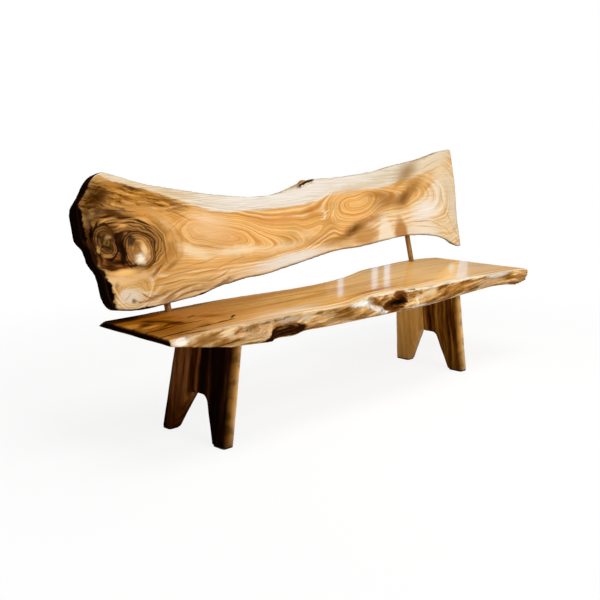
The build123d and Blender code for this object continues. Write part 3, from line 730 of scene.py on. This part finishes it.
back = {
    "grid": 5.5,
    "rounding": 3,
    "waves": [(1.8, (70, 70, 35), 3), (0.8, (20, 20, 10), 4)],
    "reach": (-1180, 1370),
    "span": (0, 600),
    "top": [
        (-1160, 430), (-1087, 477), (-1013, 518), (-863, 474), (-639, 433), (-386, 398), (-171, 392),
        (-14, 419), (168, 448), (542, 462), (867, 500), (1107, 530), (1350, 559),
    ],
    "bottom": [
        (-1160, 330), (-1101, 176), (-1059, 38), (-884, 23), (-705, 32), (-506, 58), (-216, 75),
        (117, 109), (392, 115), (700, 129), (920, 121), (1089, 92), (1199, 46), (1291, 30),
    ],
    "heart": [
        (-1160, 290), (-1060, 285), (-930, 250), (-800, 262), (-660, 285), (-540, 255), (-400, 225),
        (-180, 182), (-50, 182), (50, 205), (160, 262), (300, 312), (430, 322), (600, 350), (780, 340),
        (950, 350), (1100, 330), (1344, 300),
    ],
    "depth": [
        (-1160, 0.3), (-950, 0.22), (-800, 0.3), (-700, 0.22), (-560, 0.02), (-420, 0.1), (-320, 0.24),
        (-200, 0.34), (-60, 0.42), (60, 0.5), (140, 0.5), (250, 0.3), (330, 0.14), (430, 0.02),
        (520, 0.14), (620, 0.3), (740, 0.35), (850, 0.4), (960, 0.46), (1100, 0.6), (1344, 1.0),
    ],
    "sapTop": [
        (-1160, 600), (-1050, 520), (-1000, 488), (-900, 462), (-700, 405), (-600, 370), (-500, 342),
        (-300, 335), (-100, 333), (100, 347), (300, 385), (500, 380), (700, 390), (820, 420), (950, 462),
        (1100, 500), (1350, 560),
    ],
    "sapBottom": [
        (-1160, 0), (-1070, 60), (-1000, 105), (-940, 100), (-900, 65), (-700, 75), (-500, 115),
        (-300, 130), (-100, 146), (100, 160), (300, 165), (400, 185), (500, 235), (600, 262), (800, 265),
        (900, 290), (1000, 330), (1100, 380), (1200, 420), (1350, 480),
    ],
    "knots": [
        (-1062, 278, 100, 100, 0, 0.35),
        (-930, 238, 200, 170, 10, 0.9),
        (-1000, 400, 160, 90, 0, 0.25),
        (-985, 70, 160, 120, 0, -0.6),
        (160, 290, 160, 80, 0, 0.12),
    ],
    "halfWidth": 189,
    "ringWidth": 9,
    "warpWidth": (111.1, 50, 71.43),
    "warpSize": (30, 16, 0),
    "tearWidth": (33.33, 22.22, 50),
    "tearSize": (35, 22, 0),
    "fibreWidth": (166.7, 2.632, 8.333),
    "cloudWidth": (250, 83.33, 111.1),
    "topSapFibre": 0.7,
    "lowSapFibre": 0.3,
    "sapFringe": 14,
    "sapSoft": 4,
    "fibreShade": 0.5,
    "cloudShade": 0.6,
    "arrisWidth": 20,
    "arrisShade": 0.85,
    "arrisColour": "#2e1a0a",
    "heartColours": [
        (0.28, "#c6843a"), (0.41, "#d89b4e"), (0.5, "#e4af64"), (0.59, "#edc080"), (0.72, "#f4d8ae"),
    ],
    "lineColour": "#c07a34",
    "topSapColours": [(0.33, "#bfa67e"), (0.45, "#d9c8ab"), (0.58, "#e9e0d2")],
    "lowSapColours": [(0.36, "#d99c52"), (0.45, "#e6b97c"), (0.53, "#eed0a0"), (0.66, "#f3e2c4")],
    # broad ragged areas; the pale and dark uprights at the right, and the greyish white along the top
    # sapwood, are window glare in the varnish painted into the colour
    "tints": [
        (-700, 100, 450, 70, 4, "#e8bd7c", 0.4, 0.9),
        (-900, 478, 360, 50, -12, "#dcc090", 0.5, 0.7),
        # these two: painted glare, greyish white along the top sapwood
        (-200, 372, 500, 50, 0, "#e9e4de", 0.55, 0.8),
        (250, 410, 500, 60, 3, "#e9e4de", 0.55, 0.8),
        (420, 395, 320, 30, 3, "#d6bb94", 0.6, 0.9),
        (-560, 275, 200, 75, -12, "#efbf88", 0.7, 0.9),
        (-470, 235, 120, 35, -12, "#e2a05c", 0.35, 0.9),
        (-720, 335, 70, 30, -20, "#d08a3c", 0.7, 0.9),
        (-660, 195, 140, 32, -20, "#f7dcae", 0.75, 0.9),
        (-760, 400, 160, 10, -16, "#a87434", 0.5, 0.9),
        (-700, 425, 140, 18, -12, "#cfae7c", 0.6, 0.9),
        (-100, 290, 100, 30, 4, "#d49a5c", 0.7, 0.9),
        (-420, 182, 240, 30, -2, "#fae2ba", 0.8, 0.9),
        (-160, 168, 200, 24, 4, "#f6dcae", 0.6, 0.9),
        (-580, 320, 100, 22, -16, "#f6d0a0", 0.5, 0.9),
        (-200, 285, 260, 32, -4, "#d9924a", 0.5, 0.9),
        (-120, 112, 340, 34, 4, "#ece8e0", 0.85, 0.7),
        (20, 205, 100, 30, 0, "#f3d2a0", 0.5, 0.9),
        (-880, 60, 130, 14, 10, "#94601c", 0.9, 0.9),
        (-660, 65, 160, 16, 8, "#b88442", 0.7, 0.9),
        (300, 150, 220, 35, 2, "#d0a060", 0.6, 0.8),
        (440, 165, 140, 60, 4, "#c08a42", 0.85, 0.6),
        # these three: painted window glare, pale uprights with a dark one between
        (930, 40, 200, 240, 0, "#f3e4cc", 0.8, 0.5),
        (740, 50, 80, 210, 0, "#b4741c", 0.9, 0.35),
        (605, 50, 88, 225, 0, "#f3e4c8", 0.85, 0.32),
        (80, 300, 90, 50, 0, "#c8822c", 0.6, 0.9),
        (1120, 500, 340, 80, 12, "#ead8b8", 0.85, 0.7),
        (950, 440, 220, 22, 16, "#ead8ba", 0.6, 0.9),
        (870, 450, 200, 70, 20, "#a88658", 0.95, 1.0),
        (640, 430, 160, 26, 12, "#d3c09c", 0.5, 0.9),
        (1070, 410, 160, 40, 12, "#ecbc7c", 0.8, 0.9),
        (1200, 440, 120, 50, 12, "#f0d6aa", 0.8, 0.9),
        (1000, 250, 220, 80, 8, "#f6ecde", 0.85, 0.9),
        (1160, 360, 100, 100, 20, "#f3e2c8", 0.7, 0.9),
        (1050, 520, 220, 16, 12, "#b99a68", 0.5, 0.9),
        (1270, 300, 90, 280, 0, "#e2d0b4", 0.7, 0.9),
    ],
    "flows": [
        (-1127, 388, 40, 28, 0, "#3e1a02", 0.75, 0.9),
        (-1005, 390, 80, 24, -6, "#3e1c04", 0.65, 0.9),
        (-1028, 322, 40, 48, 0, "#34180a", 0.65, 0.9),
        (-965, 336, 36, 18, -14, "#e8a858", 0.85, 0.9),
        (-872, 327, 42, 18, -34, "#ecae60", 0.85, 0.9),
        (-1135, 335, 26, 34, 0, "#b4660e", 0.8, 0.9),
        (-776, 272, 30, 36, -60, "#e0a660", 0.7, 0.9),
        (-790, 166, 50, 18, 30, "#8a5018", 0.6, 0.9),
        (-1090, 345, 45, 7, 42, "#180b03", 0.95, 0.7),
        (-1035, 374, 55, 6, 4, "#180b03", 0.95, 0.7),
        (-960, 357, 65, 6, -14, "#180b03", 0.95, 0.7),
        (-885, 322, 55, 6, -30, "#1c0d04", 0.95, 0.7),
        (-828, 276, 45, 5, -52, "#4a2a0e", 0.85, 0.7),
        (-812, 215, 45, 5, -84, "#6e4218", 0.8, 0.7),
        (-840, 164, 40, 5, 46, "#6e4218", 0.8, 0.7),
        (-995, 240, 24, 80, -6, "#140902", 0.92, 0.7),
        (-1105, 240, 12, 60, 6, "#180b03", 0.9, 0.8),
        (-1060, 194, 60, 10, -18, "#180b03", 0.9, 0.8),
        (-1140, 300, 30, 100, 10, "#6a3a0c", 0.7, 0.8),
        (-1020, 206, 90, 10, -4, "#1a0a02", 0.85, 0.9),
        (-1040, 190, 80, 6, -6, "#5e2e08", 0.8, 0.8),
        (-980, 166, 130, 20, -2, "#e6ac60", 0.85, 0.9),
        (-1005, 166, 75, 18, -2, "#ffc878", 0.95, 0.8),
        (-860, 150, 36, 10, 40, "#8a5420", 0.8, 0.9),
        (-830, 52, 70, 14, 8, "#966022", 0.7, 0.9),
        (-1040, 330, 60, 30, 0, "#5a340c", 0.6, 0.9),
        (-850, 300, 50, 10, -50, "#b47a34", 0.7, 0.9),
        (-822, 230, 50, 10, -82, "#b8823e", 0.6, 0.9),
        (-1040, 150, 70, 6, -20, "#9a5c18", 0.8, 0.8),
        (-1030, 352, 50, 4, 2, "#2a1606", 0.9, 0.7),
        (-950, 336, 60, 4, -14, "#2a1606", 0.9, 0.7),
        (-870, 296, 50, 4, -38, "#3a200c", 0.85, 0.7),
        (-1010, 394, 55, 4, -6, "#2a1606", 0.8, 0.7),
        (-930, 376, 60, 4, -16, "#3a200c", 0.75, 0.7),
        (-760, 230, 60, 8, -76, "#9a6426", 0.6, 0.9),
        (-925, 80, 45, 5, -38, "#8a5418", 0.8, 0.8),
        (-770, 66, 150, 6, 7, "#8f5a1c", 0.85, 0.8),
        (-580, 104, 140, 5, 12, "#a06c2c", 0.8, 0.8),
        (-730, 52, 160, 5, 6, "#87521a", 0.8, 0.8),
        (-570, 78, 110, 5, 9, "#a06c2c", 0.7, 0.8),
        (-760, 132, 170, 5, 6, "#a8702e", 0.75, 0.8),
        (-800, 103, 110, 5, -1, "#9a6222", 0.8, 0.8),
        (-620, 132, 130, 4, 11, "#b07a3a", 0.75, 0.8),
        (-450, 152, 120, 4, 3, "#c08a48", 0.7, 0.8),
        (-640, 168, 140, 4, 8, "#c08a48", 0.6, 0.8),
        (-700, 350, 100, 5, -24, "#a06a2c", 0.6, 0.8),
        (-480, 335, 140, 4, -10, "#c07a34", 0.7, 0.8),
        (-330, 300, 140, 5, -14, "#b87430", 0.7, 0.8),
        (930, 186, 150, 6, -3, "#cf9a50", 0.85, 0.8),
        (950, 158, 150, 5, -5, "#d9a860", 0.8, 0.8),
        (1090, 162, 80, 6, -20, "#d9a860", 0.8, 0.8),
        (1175, 120, 70, 7, -44, "#d9a860", 0.8, 0.8),
        (1250, 60, 50, 12, -58, "#d0a060", 0.7, 0.9),
        (1175, 310, 100, 10, 96, "#d9a45c", 0.75, 0.9),
        (1205, 200, 70, 9, 114, "#d9a45c", 0.75, 0.9),
        (1245, 120, 60, 9, 122, "#d0a060", 0.7, 0.9),
        (1240, 330, 120, 6, 94, "#dcb478", 0.6, 0.9),
        (1100, 455, 180, 5, 12, "#c89a5c", 0.7, 0.8),
        (1080, 485, 200, 4, 12, "#c8a470", 0.6, 0.8),
    ],
    "burlWidth": (66.67, 8.333, 50),
    "burlTilt": 16.0,
    "burlColours": [
        (0.33, "#462208"), (0.42, "#7e4c14"), (0.48, "#a66e26"), (0.56, "#c88e40"), (0.68, "#deac62"),
    ],
    "burls": [
        (-1070, 340, 360, 215, 0, 0.45),
        (-860, 425, 270, 60, -17, 0.7),
    ],
    # the wide rings round both knots, the reddish bridge under them, the left knot, the right knot
    "eyes": [
        (-950, 264, 260, 138, -8, [
            (0.0, "#d8a464", 0.0), (0.05, "#d09a58", 0.3), (0.09, "#c08440", 0.5),
            (0.14, "#e0b070", 0.5), (0.2, "#cf9850", 0.6), (0.27, "#b87e36", 0.85),
            (0.33, "#ae7634", 0.9), (0.38, "#cc9650", 1.0), (0.415, "#74481a", 1.0),
            (0.44, "#c68e48", 1.0), (0.475, "#6e4216", 1.0), (0.5, "#c08642", 1.0),
            (0.54, "#5c3610", 1.0), (0.565, "#c28a46", 1.0), (0.6, "#5e3812", 1.0),
            (0.63, "#b07838", 1.0), (0.67, "#4a2a0c", 1.0), (0.72, "#8e5c28", 1.0),
            (0.8, "#5a3410", 1.0), (0.9, "#6a441c", 1.0), (1.0, "#34200c", 1.0),
        ]),
        (-1040, 206, 120, 30, -10, [
            (0.0, "#6b3410", 0.0), (0.25, "#5e2c0c", 0.8), (0.5, "#8a4c18", 0.9), (0.7, "#4a230b", 0.9),
            (1.0, "#431d08", 0.9),
        ]),
        (-1062, 276, 58, 66, 10, [
            (0.0, "#1a0b05", 0.0), (0.06, "#140804", 0.9), (0.16, "#241006", 1.0),
            (0.22, "#a06a30", 1.0), (0.27, "#3a200c", 1.0), (0.35, "#986832", 1.0),
            (0.42, "#442810", 1.0), (0.52, "#7a5224", 1.0), (0.64, "#3c2610", 1.0),
            (0.8, "#7e5a20", 1.0), (1.0, "#3a240a", 1.0),
        ]),
        (-921, 234, 74, 78, -12, [
            (0.0, "#1c0d04", 0.0), (0.06, "#1c0d04", 1.0), (0.13, "#8a5a2a", 1.0),
            (0.18, "#3e220c", 1.0), (0.25, "#b87c3a", 1.0), (0.31, "#6e441a", 1.0),
            (0.39, "#c48e4c", 1.0), (0.5, "#a06c34", 1.0), (0.6, "#dca04e", 1.0), (0.75, "#8e5e28", 1.0),
            (1.0, "#b07a36", 1.0),
        ]),
    ],
    "stains": [
        (-1070, 430, 110, 80, 20, "#280c00", 0.9, 0.9),
        (-890, 372, 80, 26, -16, "#dc984c", 0.7, 1.0),
        (-1040, 440, 50, 30, 40, "#4a2604", 0.65, 0.9),
        (-1000, 368, 100, 24, -10, "#4a2606", 0.85, 0.8),
        (-1080, 365, 50, 30, 30, "#3a1c02", 0.75, 0.9),
        (-900, 385, 90, 22, -18, "#c08c48", 0.6, 0.9),
        (-930, 463, 140, 10, -15, "#4a2a0c", 0.6, 0.8),
        (-750, 402, 140, 10, -18, "#5a3410", 0.6, 0.8),
        (-1120, 300, 34, 130, -4, "#2a1206", 0.9, 0.8),
        (-990, 470, 60, 20, -12, "#b87828", 0.6, 0.9),
        (-650, 205, 130, 32, -16, "#f4d8aa", 0.75, 1.0),
        (-540, 315, 140, 40, -12, "#f0cca0", 0.6, 1.0),
        (-1082, 300, 14, 20, 20, "#22120a", 0.8, 0.8),
        (-1040, 256, 14, 26, -20, "#3a220e", 0.8, 0.8),
        (-1068, 226, 30, 12, -10, "#c48a44", 0.7, 0.8),
        (-820, 355, 100, 35, -24, "#d8a058", 0.65, 0.9),
        (-770, 320, 50, 30, -30, "#eab878", 0.55, 0.9),
        (-775, 200, 50, 60, 24, "#b47a38", 0.5, 0.9),
        (-745, 250, 35, 100, 12, "#c68e4c", 0.35, 0.9),
        (-924, 202, 36, 28, 12, "#f9ebd0", 1.0, 0.8),
        (-895, 232, 20, 44, 14, "#f3cc96", 0.9, 0.8),
        (-955, 225, 18, 45, 10, "#8a5a2a", 0.8, 0.8),
        (-942, 270, 36, 28, 10, "#3e2a18", 0.95, 0.7),
        (-948, 284, 20, 8, 0, "#2a1a10", 0.9, 0.8),
        (-945, 225, 6, 24, 6, "#8a5a28", 0.7, 0.8),
        (-920, 245, 20, 4, -30, "#8a5a28", 0.7, 0.8),
        (-1050, 294, 22, 12, 0, "#b08a54", 0.8, 0.8),
        (-1098, 250, 12, 16, 0, "#d09a50", 0.8, 0.8),
        (-1078, 262, 18, 7, 40, "#180b05", 0.9, 0.8),
        (-1060, 258, 24, 7, -20, "#180b05", 0.9, 0.8),
        (-1000, 250, 24, 75, 8, "#1a0b05", 0.9, 0.8),
        (-998, 296, 40, 14, 20, "#1c0d06", 0.9, 0.6),
        (-1115, 315, 10, 45, -10, "#0a0402", 0.95, 0.6),
        (-1070, 186, 50, 6, -16, "#3a1808", 0.9, 0.6),
        (-960, 182, 50, 6, -6, "#2a1206", 0.9, 0.6),
        (-1125, 340, 20, 20, 30, "#7a5a34", 0.6, 0.8),
        (-1030, 138, 100, 30, -8, "#f4c88c", 0.85, 0.8),
        (-940, 142, 80, 22, 4, "#ecbc80", 0.85, 0.8),
        (-1000, 78, 70, 34, 0, "#ecdcc4", 0.85, 0.7),
        (-920, 80, 80, 10, -16, "#ecd6ae", 0.6, 0.8),
        (-990, 58, 18, 12, 0, "#6a5238", 0.85, 0.8),
        (-965, 52, 30, 4, -20, "#6b5034", 0.7, 0.8),
        (-1010, 80, 30, 4, 30, "#b8966a", 0.7, 0.8),
        (-1045, 125, 16, 16, 0, "#8a6a44", 0.6, 0.8),
        (-1112, 110, 50, 105, 8, "#080402", 1.0, 0.22),
        (-1158, 300, 26, 170, 0, "#080402", 1.0, 0.3),
        (-1125, 225, 28, 50, 10, "#1c0a04", 0.95, 0.6),
        (-1120, 450, 80, 12, 44, "#120803", 1.0, 0.5),
        (-1075, 505, 50, 10, 20, "#2a1808", 0.9, 0.5),
        (-950, 24, 170, 7, 0, "#0d0603", 1.0, 0.5),
        (-620, 40, 220, 8, 6, "#1d0f06", 1.0, 0.5),
        (-540, 68, 100, 14, 12, "#8a5a20", 0.7, 0.8),
        (60, 432, 90, 18, 16, "#34220f", 1.0, 0.5),
        (65, 424, 50, 6, 16, "#e9dcc0", 0.9, 0.6),
        (50, 305, 55, 10, 0, "#a8703a", 0.6, 0.9),
        (165, 290, 45, 4, 28, "#f8ecd2", 0.8, 0.8),
        (145, 270, 45, 4, 24, "#f8ecd2", 0.8, 0.8),
        (220, 285, 45, 6, 55, "#f8e2b8", 0.8, 0.8),
        (260, 172, 240, 34, 10, "#a8722c", 0.85, 1.0),
        (360, 204, 150, 36, 14, "#6e4208", 0.95, 0.9),
        (500, 236, 160, 30, 8, "#a86c28", 0.8, 1.0),
        (600, 350, 160, 30, -4, "#a8702c", 0.8, 1.0),
        (670, 318, 170, 50, 4, "#a06828", 0.85, 1.0),
        (780, 306, 120, 55, 12, "#a06a28", 0.85, 1.0),
        (830, 330, 110, 42, 24, "#6c420e", 0.9, 1.0),
        (900, 368, 180, 55, 20, "#a46e2c", 0.85, 1.0),
        (800, 395, 120, 16, 20, "#c08a44", 0.6, 0.9),
        (950, 410, 100, 22, 18, "#cf9248", 0.6, 0.9),
    ],
    "slant": 20.0,
    "mottleWidth": (62.5, 62.5, 33.33),
    "speck": 0.6,
    "sideTearWidth": (41.67, 41.67, 16.67),
    "sideTearSize": (50, 0, 20),
    "sideColours": [
        (0.34, "#5a3413"), (0.44, "#8f6130"), (0.52, "#b98a4e"), (0.6, "#d9b988"), (0.7, "#efdcc0"),
    ],
    "sideStains": [
        (-1170, 0, 200, 500, 0, "#080402", 1.0, 0.3),
        (-1100, 0, 100, 500, 0, "#2a1808", 0.8, 0.8),
    ],
    "sideEyes": [],
    "dull": 0.04,
    "shine": 0.42,
    "roughness": 0.13,
}
backSlab = boardFrom("backrest_slab", "backSlab", backFrame, back)
points = coords(backSlab)
onSide = sideAndEdge(backSlab)
pushSide(backSlab, onSide * waves(points, back["waves"]))
backSlab.data.materials.append(slabMaterial("satinSlabBackrestWood", back))
backSlab.data.transform(backFrame)
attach(backSlab, "root")
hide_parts("backrest_slab")
print("backrest slab made,", len(points), "points")

# trestle planks: the grain runs up each plank, and each keeps a live edge on its outer side

planks = {
    "grid": 4,
    "rounding": 2,
    "sideWaves": [(1.2, (30, 60, 30), 5)],
    "faceWaves": [(0.4, (30, 120, 50), 6)],
    "waved": (15, 345),  # heights that the waves stay between, clear of the glides and the seat
    "skinFacing": 0.75,  # how squarely a point faces outward to count as the tree's skin
    "skinFade": 9,
    # edge: colours across each live edge, dark to pale from left face to right, painted shade and painted
    # light; the right rear plank's pale edge is sapwood brightened by a painted highlight
    "looks": {
        "left_front": {
            "colours": [(0.35, "#070301"), (0.50, "#180a03"), (0.62, "#34190a"), (0.78, "#6b3e12")],
            "edge": [(0.0, "#2e1806"), (0.45, "#8a5a1e"), (0.8, "#c89444"), (1.0, "#eccb94")],
            "foot": 0.5, "shift": 0,
        },
        "left_rear": {
            "colours": [(0.34, "#200c02"), (0.45, "#4e2606"), (0.55, "#6e3a0a"), (0.72, "#945812")],
            "edge": [(0.0, "#3a1c06"), (1.0, "#6b4010")], "foot": 0.45, "shift": 3100,
        },
        "right_front": {
            "colours": [(0.34, "#2a1202"), (0.45, "#5a3206"), (0.55, "#80500e"), (0.72, "#b07824")],
            "edge": [(0.0, "#7a4c10"), (0.4, "#c8903c"), (1.0, "#f3d6a0")], "foot": 0.6, "shift": 6400,
        },
        "right_rear": {
            "colours": [(0.25, "#b8782a"), (0.42, "#cf9640"), (0.58, "#dba550"), (0.80, "#e8bc70")],
            "edge": [(0.0, "#e2c8a0"), (1.0, "#efdfc4")], "foot": 0.8, "shift": 9700,
        },
    },
}


def plankMaterial(name, look):
    # planed hardwood rubbed with oil: streaky, with open pores and a low sheen that the dark wood lacks
    material, tree = emptyMaterial(name)
    grain = put(tree, "Attribute", attribute_name="grain").outputs["Vector"]
    moved = put(tree, "VectorMath", {0: grain, 1: (look["shift"] / 1000, 0.0, 0.0)}, operation="ADD")
    bent = frayed(tree, moved, (166.7, 333.3, 166.7), (50, 0, 30), 2.0)
    streaks = stretched(tree, bent, (23.81, 416.7, 33.33), 5.0, 0.66)
    colour = fillRamp(put(tree, "ValToRGB", {0: streaks}), look["colours"])
    pores = stretched(tree, bent, (1.429, 45.45, 2), 2.0, 0.5)  # wider than real pores, so that they show
    shade = fillRamp(put(tree, "ValToRGB", {0: pores}), [(0.36, 0.6), (0.46, 1.0)])
    colour = put(tree, "MixRGB", {0: 0.6, 1: colour, 2: shade}, blend_type="MULTIPLY")
    # planks darken toward the floor, and across the thickness the live edge runs from painted shade on its
    # left face to painted light on its right, as if lit from the right
    parts = put(tree, "SeparateXYZ", {0: bent})
    foot = put(
        tree, "MapRange", {0: parts.outputs["Y"], 2: 0.22, 3: look["foot"]}, interpolation_type="SMOOTHSTEP"
    )
    across = put(tree, "MapRange", {0: parts.outputs["Z"], 1: -0.022, 2: 0.022})
    edge = fillRamp(put(tree, "ValToRGB", {0: across}), look["edge"])
    cloudy = stretched(tree, moved, [41.67] * 3, 4.0, 0.5)
    patchy = fillRamp(put(tree, "ValToRGB", {0: cloudy}), [(0.38, 0.45), (0.5, 1.0), (0.62, 1.15)])
    edge = put(tree, "MixRGB", {0: 0.8, 1: edge, 2: patchy}, blend_type="MULTIPLY")
    live = put(tree, "Attribute", attribute_name="live").outputs["Fac"]
    colour = put(tree, "MixRGB", {0: live, 1: colour, 2: edge})
    colour = put(tree, "MixRGB", {0: 1.0, 1: colour, 2: foot}, blend_type="MULTIPLY")
    relief = put(tree, "Bump", {"Height": streaks, "Strength": 0.25, "Distance": 0.0005})
    grey = put(tree, "RGBToBW", {0: colour})
    shine = put(tree, "MapRange", {0: grey, 1: 0.03, 2: 0.25, 4: 0.3})
    roughness = put(tree, "MapRange", {0: grey, 1: 0.01, 2: 0.20, 3: 0.45, 4: 0.28})
    surface(tree, colour, roughness, shine, relief)
    return material


for place, look in planks["looks"].items():
    end, half = place.split("_")
    plank = boardFrom("leg_" + place, "trestlePlank" + end.title() + half.title(), trestleFrames[end], planks)
    points, facing = coords(plank), normals(plank)
    onSide = sideAndEdge(plank)
    # the outer edge of each plank keeps the tree's own skin
    outward = facing[:, 0] * (-1 if half == "front" else 1)
    depth = nearest(points[outward > planks["skinFacing"]], points)
    store(plank, "live", np.exp(-(depth / (planks["skinFade"] / 1000)) ** 2))
    relief = waves(points, planks["sideWaves"]) * onSide + waves(points, planks["faceWaves"])
    low, high = metres(planks["waved"])
    inside = (points[:, 1] > low) & (points[:, 1] < high)
    setCoords(plank, points + facing * (relief * inside)[:, None])
    plank.data.materials.append(plankMaterial("oiledPlank" + end.title() + half.title(), look))
    plank.data.transform(trestleFrames[end])
    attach(plank, "root")
    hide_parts("leg_" + place)
print("trestles made")


# round posts, wedges, pegs, dowels and glides keep their sawn shapes and get their finishes

def plainMaterial(name, colours, width, roughness):
    material, tree = emptyMaterial(name)
    where = put(tree, "TexCoord").outputs["Object"]
    grain = stretched(tree, where, width, 4.0)
    colour = fillRamp(put(tree, "ValToRGB", {0: grain}), colours)
    relief = put(tree, "Bump", {"Height": grain, "Strength": 0.2, "Distance": 0.0005})
    surface(tree, colour, roughness, 0.35, relief)
    return material


fittings = {
    # turned wood with oil: even brown, long grain up the post, a low sheen
    "post": plainMaterial(
        "turnedPostWood", [(0.3, "#5e3a12"), (0.5, "#94662c"), (0.7, "#b8884a")], (6.25, 6.25, 111.1), 0.4
    ),
    # joinery left bare: paler and duller than what is oiled
    "joint": plainMaterial(
        "bareJoineryWood", [(0.3, "#a87c48"), (0.5, "#c9a06a"), (0.7, "#dcbc8a")], (8.333, 8.333, 71.43), 0.6
    ),
    # moulded nylon: nearly black, with a fine dull texture
    "glide": plainMaterial(
        "darkNylonGlide", [(0.3, "#0f0b08"), (0.5, "#1a130e"), (0.7, "#261d15")], [3.333] * 3, 0.55
    ),
}
for node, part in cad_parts.items():
    kind = "post" if node in ("post_left", "post_right") else "glide" if node.startswith("glide") else "joint"
    if node.startswith(("post", "backrest_peg", "leg_dowels", "seam_dowels", "glide")):
        part.data.materials.clear()
        part.data.materials.append(fittings[kind])
print("fittings finished")


# studio: floor, background and lamps

studio = {
    "floorSize": 60.0,
    "fade": (1.2, 2.6),  # distances from the middle over which the floor turns white
    "fadeFrom": 0.86,
    "daylight": 0.30,  # what the surroundings give to dull surfaces
    "glareLight": 0.04,  # and to shiny ones
    "lamps": [
        {"name": "windowLeft", "at": (-0.3, -3.2, 3.4), "aim": (0, 0, 0.5), "size": (1.6, 1.6), "power": 58},
        {"name": "overhead", "at": (0.1, -0.6, 3.6), "aim": (0.1, 0, 0.4), "size": (3.0, 1.6), "power": 80},
        {"name": "frontFill", "at": (-0.8, -4.4, 2.6), "aim": (0, 0, 0.5), "size": (2.5, 1.6), "power": 22},
        # windows that only show as glare in the varnish of the backrest
        {
            "name": "slitRight", "at": (3.97, -1.73, 0.76), "aim": (0.52, 0.21, 0.6), "size": (0.12, 1.2),
            "power": 0.7, "colour": (0.42, 0.72, 1.0),
        },
        {
            "name": "paneRight", "at": (4.51, -1.52, 0.78), "aim": (0.96, 0.25, 0.6), "size": (0.42, 1.2),
            "power": 1.2,
        },
    ],
    # windows behind the bench that show as streaks across the seat: direction from the camera, width, power
    "streaks": [
        (41.5, 0.04, 0.24), (39.24, 0.045, 0.24), (38.44, 0.045, 0.25), (33.8, 0.14, 0.45),
        (32.2, 0.54, 0.75), (38.4, 0.98, 0.80), (44.5, 0.61, 0.20), (50.5, 0.86, 0.12),
    ],
    "streakDistance": 7.0,
    "streakHeight": 1.25,
    "narrow": 0.2,  # streaks narrower than this are cool, wider ones warm
    "cool": (0.42, 0.72, 1.0),
    "warm": (1.0, 0.94, 0.86),
}


def stageMaterial():
    # matt studio paper: it holds the bench's shadow near the middle and is plain white further out
    material, tree = emptyMaterial("paleStudioFloor")
    paper = put(tree, "BsdfDiffuse", {"Color": linear("#f6f5f3")})
    white = put(tree, "Emission", {"Color": linear("#ffffff"), "Strength": 1.0})
    where = put(tree, "TexCoord").outputs["Object"]
    reach = put(tree, "VectorMath", {0: where}, operation="LENGTH").outputs["Value"]
    near, far = studio["fade"]
    fade = put(
        tree, "MapRange", {0: reach, 1: near, 2: far, 3: studio["fadeFrom"]}, interpolation_type="SMOOTHSTEP"
    )
    path = put(tree, "LightPath")
    seen = put(tree, "Math", {0: path.outputs["Is Camera Ray"], 1: fade}, operation="MULTIPLY")
    mixed = put(tree, "MixShader", {0: seen, 1: paper, 2: white})
    put(tree, "OutputMaterial", {"Surface": mixed})
    return material


bpy.ops.object.select_all(action="DESELECT")
bpy.ops.mesh.primitive_plane_add(size=studio["floorSize"], location=(0, 0, 0))
floor = bpy.context.active_object
floor.name = "studioFloor"
floor.data.materials.append(stageMaterial())

world = bpy.data.worlds.new("studio")
bpy.context.scene.world = world
world.use_nodes = True
tree = world.node_tree
tree.nodes.clear()
path = put(tree, "LightPath")
soft = put(tree, "Background", {"Color": linear("#ffffff"), "Strength": studio["daylight"]})
dim = put(tree, "Background", {"Color": linear("#ffffff"), "Strength": studio["glareLight"]})
white = put(tree, "Background", {"Color": linear("#ffffff"), "Strength": 1.0})
inner = put(tree, "MixShader", {0: path.outputs["Is Glossy Ray"], 1: soft, 2: dim})
mixed = put(tree, "MixShader", {0: path.outputs["Is Camera Ray"], 1: inner, 2: white})
put(tree, "OutputWorld", {"Surface": mixed})

lamps = list(studio["lamps"])
for number, (turn, wide, power) in enumerate(studio["streaks"]):
    heading = Vector((cos(radians(turn)), sin(radians(turn)), 0))
    spot = Vector(camera["place"]) + studio["streakDistance"] * heading
    spot.z = studio["streakHeight"]
    lamps.append({
        "name": "slitBehind" + str(number), "at": spot, "aim": (0, 0, spot.z), "size": (wide, 1.5),
        "power": power, "colour": studio["cool"] if wide < studio["narrow"] else studio["warm"],
    })
for lamp in lamps:
    light = bpy.data.lights.new(lamp["name"], "AREA")
    light.shape = "RECTANGLE"
    light.size, light.size_y = lamp["size"]
    light.energy = lamp["power"]
    light.color = lamp.get("colour", (1, 1, 1))
    holder = bpy.data.objects.new(lamp["name"], light)
    holder.location = lamp["at"]
    facing = Vector(lamp["aim"]) - Vector(lamp["at"])
    holder.rotation_euler = facing.to_track_quat("-Z", "Y").to_euler()
    holder.visible_camera = False
    bpy.context.scene.collection.objects.link(holder)
print("studio lit")
